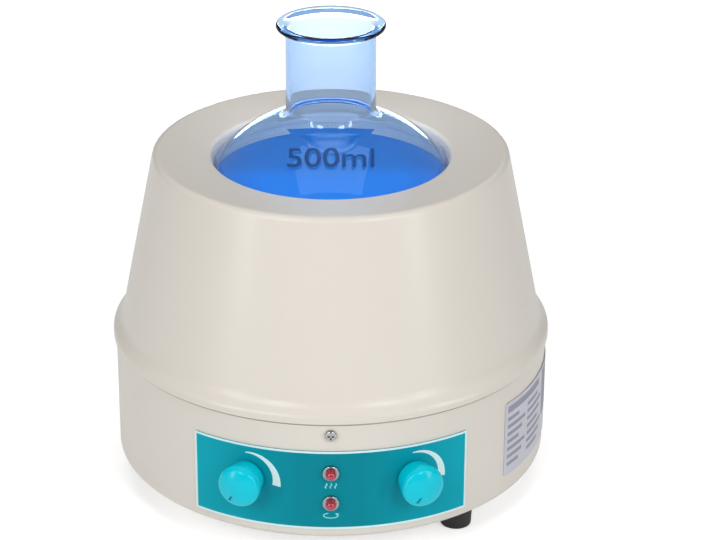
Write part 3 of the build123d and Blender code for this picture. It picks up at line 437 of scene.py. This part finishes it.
def liquid_with_painted_light():
    """Blue liquid with painted light and shade: its colour eases from a lighter front to a darker
    back.
    """
    made, tree, shader = principled(
        "blue_liquid", LIT_FRONT_BLUE, 0.05, IOR=1.33, Specular_IOR_Level=0.05
    )
    # painted light and shade, following the place from front to back
    back = object_axes(tree)["Y"]
    depth = fade_node(tree, back, -BULB_RADIUS, BULB_RADIUS, 0.0, 1.0)
    ramp = tree.nodes.new("ShaderNodeValToRGB")
    ramp.color_ramp.interpolation = "EASE"
    for stop, (position, blue) in zip(ramp.color_ramp.elements, PAINTED_LIGHT_BLUES):
        stop.position = position
        stop.color = (*blue, 1)
    tree.links.new(depth, ramp.inputs["Fac"])
    tree.links.new(ramp.outputs["Color"], shader.inputs["Base Color"])
    return made


# Each speckled finish: name, colour, roughness, grain, depth of tone, relief.
FINISHES = {
    "painted_shell": speckled(
        "satin_paint", BEIGE, 0.28, 1400.0, 0.03, 0.00002, Specular_IOR_Level=0.42
    ),
    "bare_sheet": speckled(
        "zinc_plate", (0.56, 0.57, 0.58), 0.38, 300.0, 0.2, 0.00001, Metallic=1.0
    ),
    "steel_fastener": speckled(
        "bright_zinc", (0.46, 0.46, 0.47), 0.25, 900.0, 0.1, 0.00001, Metallic=1.0
    ),
    "black_rubber": speckled(
        "rubber_foot", (0.018, 0.018, 0.019), 0.6, 1600.0, 0.3, 0.00003
    ),
    # painted light: the teal label's colour grows 1.6 times brighter towards both sides
    "teal_label": painted_side_light(
        speckled(
            "teal_film", (0.0, 0.235, 0.30), 0.5, 2500.0, 0.02, 0.00001, Specular_IOR_Level=0.1
        ),
        end=1.6, near=0.015, far=0.060,
    ),
    "silver_label": speckled(
        "silver_foil", (0.56, 0.56, 0.63), 0.35, 1800.0, 0.05, 0.00001, Metallic=0.35
    ),
    "cyan_plastic": speckled(
        "cyan_knob", (0.0, 0.57, 0.71), 0.2, 1500.0, 0.03, 0.00001, Specular_IOR_Level=0.25
    ),
    "red_lens": speckled(
        "red_lens", (0.42, 0.01, 0.035), 0.15, 400.0, 0.02, 0.00001, Coat_Weight=1.0
    ),
    "bezel_metal": speckled(
        "bezel_chrome", (0.34, 0.36, 0.38), 0.22, 600.0, 0.02, 0.000005, Metallic=1.0
    ),
    "black_plastic": speckled(
        "black_moulding", (0.016, 0.016, 0.018), 0.42, 1300.0, 0.15, 0.00002
    ),
    "flask_glass": clear("blue_tinted_glass", 1.47, absorb=(0.06, 0.45, 0.84), density=215.0),
    "blue_liquid": liquid_with_painted_light(),
    "glass_fibre": woven("glass_fibre_cloth", (0.88, 0.87, 0.85), pitch=0.0012, relief=0.0004),
    "mineral_wool": speckled(
        "mineral_wool", (0.68, 0.64, 0.50), 0.95, 500.0, 0.4, 0.0006
    ),
    "resistance_alloy": speckled(
        "oxidised_wire", (0.22, 0.19, 0.17), 0.5, 800.0, 0.3, 0.00002, Metallic=1.0
    ),
    "pin_brass": speckled(
        "pin_brass", (0.72, 0.56, 0.26), 0.25, 500.0, 0.1, 0.00001, Metallic=1.0
    ),
    "magnet_nickel": speckled(
        "magnet_nickel", (0.62, 0.60, 0.56), 0.2, 500.0, 0.1, 0.00001, Metallic=1.0
    ),
    "carrier_aluminium": speckled(
        "turned_aluminium", (0.66, 0.67, 0.69), 0.32, 700.0, 0.1, 0.00001, Metallic=1.0
    ),
    "board_laminate": speckled(
        "solder_mask", (0.01, 0.12, 0.045), 0.35, 900.0, 0.15, 0.00002
    ),
    "heatsink_aluminium": speckled(
        "black_anodised", (0.03, 0.03, 0.033), 0.4, 600.0, 0.2, 0.00001, Metallic=0.6
    ),
    "motor_steel": speckled(
        "motor_case", (0.25, 0.26, 0.28), 0.35, 500.0, 0.15, 0.00001, Metallic=0.8
    ),
    "core_steel": speckled(
        "varnished_core", (0.11, 0.10, 0.09), 0.4, 400.0, 0.3, 0.00004, Metallic=0.4
    ),
}
# painted shadow: grey-brown colour for the dark line under the skirt's edge
SEAM_SHADOW_FINISH = speckled("seam_shadow_grey", (0.38, 0.35, 0.31), 0.7, 1200.0, 0.2, 0.00002)
WHITE_INK = speckled("white_ink", (0.66, 0.86, 0.86), 0.4, 1500.0, 0.05, 0.000005)
CYAN_INK = speckled("pale_cyan_ink", (0.22, 0.72, 0.74), 0.4, 1500.0, 0.05, 0.000005)
# painted shade: the knob's notch is a flat darker strip in place of a groove
PAINTED_NOTCH_SHADE = speckled(
    "notch_shade", (0.0, 0.20, 0.36), 0.5, 1500.0, 0.05, 0.000005, Specular_IOR_Level=0.1
)
GREY_INK = speckled("grey_ink", (0.28, 0.29, 0.37), 0.5, 1500.0, 0.1, 0.000005)
NAVY_INK = speckled("navy_enamel", (0.012, 0.06, 0.22), 0.4, 1500.0, 0.1, 0.000005)


def dress(thing, finish):
    """Give the whole piece one finish."""
    thing.data.materials.clear()
    thing.data.materials.append(finish)
    return thing


def dress_nodes():
    """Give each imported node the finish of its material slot."""
    for part in frame["record"]["subparts"]:
        dress(NODES[part["node"]], FINISHES[part["material_slot"]])


# ---------------------------------------------------------------- flask and liquid
def dome_center():
    """Height of the center of the dome's sphere, from which the blend's circle hangs inside it."""
    return WIDEST_Z - sqrt((DOME_RADIUS - BLEND_RADIUS) ** 2 - (BULB_RADIUS - BLEND_RADIUS) ** 2)


def flask_side(inset):
    """Half section of the flask's bulb and shoulder, moved inwards by an inset.

    Four tangent arcs: a half-round bottom, a tight blend above the widest ring, a flat dome, and
    a fillet up into the neck.
    """
    blend_r = BULB_RADIUS - BLEND_RADIUS
    center_z = dome_center()
    fillet_r = NECK_RADIUS + NECK_FILLET
    rise = sqrt((DOME_RADIUS + NECK_FILLET) ** 2 - fillet_r**2)
    low = degrees(atan2(WIDEST_Z - center_z, blend_r))
    high = degrees(atan2(rise, fillet_r))
    fillet_at = (fillet_r, center_z + rise)
    return np.concatenate(
        [
            arc((0, WIDEST_Z), BULB_RADIUS - inset, -90, 0, SIDE_POINTS),
            arc((blend_r, WIDEST_Z), BLEND_RADIUS - inset, 0, low, SIDE_POINTS // 2)[1:],
            arc((0, center_z), DOME_RADIUS - inset, low, high, SIDE_POINTS)[1:],
            arc(fillet_at, NECK_FILLET + inset, high + 180, 180, SIDE_POINTS // 3)[1:],
        ]
    )


def flask_glass():
    """Outside up to the rim, round its edge, down the rounded mouth and the inside again."""
    under = RIM_TOP - RIM_THICKNESS
    edge = NECK_RADIUS + RIM_OVERHANG - RIM_THICKNESS / 2
    mouth = NECK_RADIUS - GLASS_WALL + MOUTH_ROUNDING
    rim = [
        arc((NECK_RADIUS + RIM_FILLET, under - RIM_FILLET), RIM_FILLET, 180, 90, 10),
        arc((edge, RIM_TOP - RIM_THICKNESS / 2), RIM_THICKNESS / 2, -90, 90, 16),
        arc((mouth, RIM_TOP - MOUTH_ROUNDING), MOUTH_ROUNDING, 90, 180, 14),
    ]
    profile = np.concatenate([flask_side(0), *rim, flask_side(GLASS_WALL)[::-1]])
    profile[[0, -1], 0] = 0.0
    return turned("flask_glass", profile)


def flask_fill():
    """Liquid inside the wall. Its surface climbs the wall as an exponential meniscus."""
    side = flask_side(GLASS_WALL + LIQUID_GAP)
    side = side[side[:, 1] <= LIQUID_TOP]
    edge = side[-1, 0]
    r = edge - np.linspace(0, 1, SURFACE_RINGS) ** 2 * edge
    z = LIQUID_TOP - MENISCUS * (1 - np.exp((r - edge) / MENISCUS_REACH))
    profile = np.concatenate([side[:-1], np.stack([r, z], axis=1)])
    profile[[0, -1], 0] = 0.0
    return turned("flask_fill", profile)


def painted_seam_shadow():
    """Thin dark ring of painted shadow under the skirt's edge: an upright ellipse carried round the
    base.
    """
    t = np.linspace(0, 2 * pi, 16, endpoint=False)[:, None]
    a = np.linspace(0, 2 * pi, SEAM_SHADOW_STEPS, endpoint=False)[None, :]
    r = BASE_RADIUS + SEAM_SHADOW_PROUD * np.cos(t)
    z = SEAM_Z - SEAM_SHADOW_HALF_HEIGHT + SEAM_SHADOW_HALF_HEIGHT * np.sin(t)
    grid = np.stack(np.broadcast_arrays(r * np.cos(a), r * np.sin(a), z), axis=-1)
    return clean(mesh_from_grid("painted_seam_shadow", grid, closed_rows=True, closed_columns=True))


def flat_text(body, size):
    """Outline of a text in the XY plane as a mesh, finely divided so that it can be bent."""
    curve = bpy.data.curves.new("writing", "FONT")
    curve.body = body
    curve.size = size
    curve.offset = MARK_WEIGHT
    curve.align_x = "CENTER"
    curve.align_y = "CENTER"
    thing = bpy.data.objects.new("writing", curve)
    bpy.context.scene.collection.objects.link(thing)
    bpy.context.view_layer.update()
    mesh = bpy.data.meshes.new_from_object(thing)
    bpy.data.objects.remove(thing)
    work = bmesh.new()
    work.from_mesh(mesh)
    bmesh.ops.triangulate(work, faces=work.faces)
    bmesh.ops.subdivide_edges(work, edges=work.edges, cuts=3, use_grid_fill=True)
    work.to_mesh(mesh)
    work.free()
    return mesh


def capacity_mark():
    """Plain volume mark stamped on the dome's sphere along one direction, tipped up from the front.

    In the stamp's frame the text keeps its x and its squashed y, and a point's depth is what is
    left of the sphere's radius: sqrt(radius^2 - x^2 - y^2).
    """
    mesh = flat_text("500ml", MARK_SIZE)
    flat = np.zeros(len(mesh.vertices) * 3)
    mesh.vertices.foreach_get("co", flat)
    x, y = flat.reshape(-1, 3)[:, 0], flat.reshape(-1, 3)[:, 1]
    skin = DOME_RADIUS + INK
    y = MARK_RISE + MARK_SQUASH * y
    depth = np.sqrt(skin**2 - x**2 - y**2)
    back = y * sin(STAMP_TILT) - depth * cos(STAMP_TILT)
    up = dome_center() + y * cos(STAMP_TILT) + depth * sin(STAMP_TILT)
    mesh.vertices.foreach_set("co", np.stack([x, back, up], axis=1).ravel())
    thing = bpy.data.objects.new("capacity_mark", mesh)
    bpy.context.scene.collection.objects.link(thing)
    return thing


# ---------------------------------------------------------------- print
def patch(name, radius, left, right, bottom, top, count=48):
    """Rectangle wrapped on the cylinder: across and up run evenly between their ends."""
    across = np.linspace(left, right, count)[None, :].repeat(2, 0)
    up = np.array([[bottom], [top]]).repeat(count, 1)
    return mesh_from_grid(name, wrapped(radius, across, up))


def wedge(center_across, center_up, radius):
    """Scale beside a knob: between an inner circle and an outer one that grows with the angle."""
    t = np.linspace(0, 1, 40)
    angle = np.radians(WEDGE_FROM + (WEDGE_TO - WEDGE_FROM) * t)
    outer = WEDGE_INNER + WEDGE_THIN + (WEDGE_THICK - WEDGE_THIN) * t
    reach = np.stack([np.full_like(t, WEDGE_INNER), outer])
    across = center_across + reach * np.cos(angle)
    up = center_up + reach * np.sin(angle)
    return mesh_from_grid("wedge", wrapped(radius, across, up))


def stroke(across, up, width):
    """Ribbon along a line: each point moves half the width to both sides of the line's run."""
    run = np.stack([np.gradient(across), np.gradient(up)])
    side = np.stack([-run[1], run[0]]) / np.hypot(*run) * width / 2
    across = np.stack([across + side[0], across - side[0]])
    up = np.stack([up + side[1], up - side[1]])
    return mesh_from_grid("stroke", wrapped(LABEL_RADIUS + INK, across, up))


def heat_sign(up):
    """Three rising waves: each goes sideways as the sine of its height."""
    t = np.linspace(-0.5, 0.5, 25)
    return [
        stroke(middle + WAVE_SWING * np.sin(2 * pi * t), up + CAPTION_TALL * t, STROKE)
        for middle in (-WAVE_PITCH, 0.0, WAVE_PITCH)
    ]


def stir_sign(up):
    """Flat turning arrow: most of an ellipse, and a head that narrows to a point."""
    turn = np.radians(np.linspace(ARROW_FROM, ARROW_NECK, 40))
    head = np.radians(np.linspace(ARROW_NECK, ARROW_TIP, 8))
    taper = np.linspace(ARROW_HEAD, ARROW_POINT, len(head))
    tall = CAPTION_TALL / 2
    return [
        stroke(ARROW_REACH * np.cos(turn), up + tall * np.sin(turn), STROKE),
        stroke(ARROW_REACH * np.cos(head), up + tall * np.sin(head), taper),
    ]


def pointer(name, azimuth):
    """Notch line of painted shade on a knob's domed face: it runs outwards from the axis at the
    pointer's angle.

    A point at r from the knob's axis lies lower than the crown's top by R - sqrt(R^2 - r^2).
    """
    r = np.linspace(POINTER_FROM, POINTER_TO, 12)[None, :]
    side = np.array([[0.5], [-0.5]]) * POINTER_WIDTH
    across = r * cos(POINTER_AT) - side * sin(POINTER_AT)
    up = r * sin(POINTER_AT) + side * cos(POINTER_AT)
    drop = CROWN_RADIUS - np.sqrt(CROWN_RADIUS**2 - across**2 - up**2)
    out = LABEL_RADIUS + KNOB_REACH + INK - drop
    a = radians(azimuth)
    x, y = out * sin(a) + across * cos(a), -out * cos(a) + across * sin(a)
    return mesh_from_grid(name, np.stack([x, y, KNOB_Z + up], axis=-1))


def rating_print():
    """Rows of plain bars in two columns under a heading bar, and a block at the right."""
    radius = RATING_RADIUS + INK
    left, right = (radius * radians(az) for az in RATING_AZ)
    low, high = RATING_LOW.z + RATING_EDGE, RATING_HIGH.z - RATING_EDGE
    left, right = left + RATING_EDGE, right - RATING_EDGE
    wide, tall = right - left, high - low
    head = left + HEADING_WIDE * wide
    things = [patch("bar", radius, left, head, high - HEADING_TALL * tall, high)]
    for row in range(RATING_ROWS):
        top = high - tall * (ROWS_FROM + ROW_STEP * row)
        bottom = top - ROW_TALL * tall
        longer = RAGGED * ((row * 2) % 3)
        for start, stop in COLUMNS:
            ends = left + start * wide, left + (stop + longer) * wide
            things.append(patch("bar", radius, *ends, bottom, top))
    block = left + BLOCK_FROM * wide, right, low + BLOCK_LOW * tall, high
    things.append(patch("bar", radius, *block))
    return join("rating_print", things)


def lamp_middle(low, high):
    """Height of the middle of a lamp's box."""
    return (low.z + high.z) / 2


def panel_signs():
    """A heat sign under the upper lamp and a turning sign under the lower one."""
    upper = lamp_middle(HEAT_LAMP_LOW, HEAT_LAMP_HIGH) - CAPTION_DROP
    lower = lamp_middle(STIR_LAMP_LOW, STIR_LAMP_HIGH) - CAPTION_DROP
    return join("panel_signs", heat_sign(upper) + stir_sign(lower))


def panel_print():
    """Border just inside the label's edge, and the two wedges."""
    radius = LABEL_RADIUS + INK
    half = LABEL_RADIUS * np.arcsin(LABEL_HIGH.x / LABEL_RADIUS)
    low, high = LABEL_LOW.z, LABEL_HIGH.z
    knob_across = LABEL_RADIUS * radians(KNOB_AZ)
    things = [
        patch("edge", radius, -half, half, high - BORDER, high),
        patch("edge", radius, -half, half, low, low + BORDER),
        patch("edge", radius, -half, -half + BORDER, low + BORDER, high - BORDER, 3),
        patch("edge", radius, half - BORDER, half, low + BORDER, high - BORDER, 3),
        wedge(-knob_across, KNOB_Z, radius),
        wedge(knob_across, KNOB_Z, radius),
    ]
    return join("panel_print", things)


def place_print(thing, finish, body="mantle"):
    """Dress a piece of the scene's own and tell the frame its body."""
    dress(thing, finish)
    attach(thing, body)
    return thing


# ---------------------------------------------------------------- scene
def build():
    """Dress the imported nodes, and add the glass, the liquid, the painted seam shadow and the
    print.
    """
    dress_nodes()
    glass = dress(flask_glass(), FINISHES["flask_glass"])
    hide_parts("flask")
    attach(glass, "mantle")
    glass.visible_shadow = False
    fill = dress(flask_fill(), FINISHES["blue_liquid"])
    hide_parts("flask_liquid")
    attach(fill, "mantle")
    place_print(capacity_mark(), NAVY_INK).visible_shadow = False
    # painted shadow along the seam, as a thin dark ring
    place_print(painted_seam_shadow(), SEAM_SHADOW_FINISH)
    place_print(panel_print(), WHITE_INK)
    place_print(panel_signs(), CYAN_INK)
    place_print(rating_print(), GREY_INK)
    place_print(pointer("heat_pointer", -KNOB_AZ), PAINTED_NOTCH_SHADE, "heat_control")
    place_print(pointer("stir_pointer", KNOB_AZ), PAINTED_NOTCH_SHADE, "stir_control")


def seen(tree, mirrored):
    """1 for straight rays and those through glass, and a share of it for mirrored ones."""
    paths = tree.nodes.new("ShaderNodeLightPath").outputs
    straight = math_node(tree, "MAXIMUM", paths["Is Camera Ray"], paths["Is Transmission Ray"])
    glossy = math_node(tree, "MULTIPLY", paths["Is Glossy Ray"], mirrored)
    return math_node(tree, "MAXIMUM", straight, glossy)


def floor():
    """Wide plain floor at the feet's level, whose glow fills up with the distance."""
    side = np.array([-FLOOR_REACH, FLOOR_REACH])
    grid = np.stack(np.broadcast_arrays(side[:, None], side[None, :], 0.0), axis=-1)
    ground = mesh_from_grid("floor", grid)
    made, tree, shader = principled("pale_floor", (FLOOR_GREY, FLOOR_GREY, FLOOR_GREY), 0.8)
    shader.inputs["Emission Color"].default_value = (1, 1, 1, 1)
    far = tree.nodes.new("ShaderNodeVectorMath")
    far.operation = "LENGTH"
    tree.links.new(object_vector(tree), far.inputs[0])
    rising = fade_node(tree, far.outputs["Value"], NEAR, FAR, FLOOR_GLOW, 1.0)
    glow = math_node(tree, "MULTIPLY", seen(tree, MIRRORED_FLOOR), rising)
    tree.links.new(glow, shader.inputs["Emission Strength"])
    dress(ground, made)


def world():
    """White sky for straight rays, which lights the scene only by a small share."""
    sky = bpy.data.worlds.new("studio")
    sky.use_nodes = True
    bpy.context.scene.world = sky
    back = sky.node_tree.nodes["Background"]
    back.inputs["Color"].default_value = (1, 1, 1, 1)
    tree = sky.node_tree
    lift = math_node(tree, "MULTIPLY", seen(tree, MIRRORED_SKY), 1 - WORLD_LIGHT)
    level = math_node(tree, "ADD", lift, WORLD_LIGHT)
    tree.links.new(level, back.inputs["Strength"])


def softbox(name, azimuth, height, distance, width, tall, power, mirrored):
    """Area light that faces the mantle's middle from an azimuth."""
    lamp = bpy.data.lights.new(name, "AREA")
    lamp.shape = "RECTANGLE"
    lamp.size = width
    lamp.size_y = tall
    lamp.energy = power
    thing = bpy.data.objects.new(name, lamp)
    a = radians(azimuth)
    thing.location = (distance * np.sin(a), -distance * np.cos(a), height)
    aim = np.array(AIM) - np.array(thing.location)
    turn = atan2(aim[1], aim[0]) - pi / 2
    fall = atan2(aim[2], np.hypot(aim[0], aim[1]))
    thing.rotation_euler = (pi / 2 + fall, 0, turn)
    thing.visible_glossy = mirrored
    bpy.context.scene.collection.objects.link(thing)


def camera():
    """Camera in front of the mantle, looking down at it by its pitch."""
    view = bpy.data.cameras.new("camera")
    view.lens = CAMERA_LENS
    view.shift_x, view.shift_y = CAMERA_SHIFT
    thing = bpy.data.objects.new("camera", view)
    thing.location = CAMERA_AT
    thing.rotation_euler = (pi / 2 - CAMERA_PITCH, 0, 0)
    bpy.context.scene.collection.objects.link(thing)
    bpy.context.scene.camera = thing


build()
floor()
world()
for lamp in SOFTBOXES:
    softbox(*lamp)
camera()
bpy.context.scene.view_settings.view_transform = "Standard"
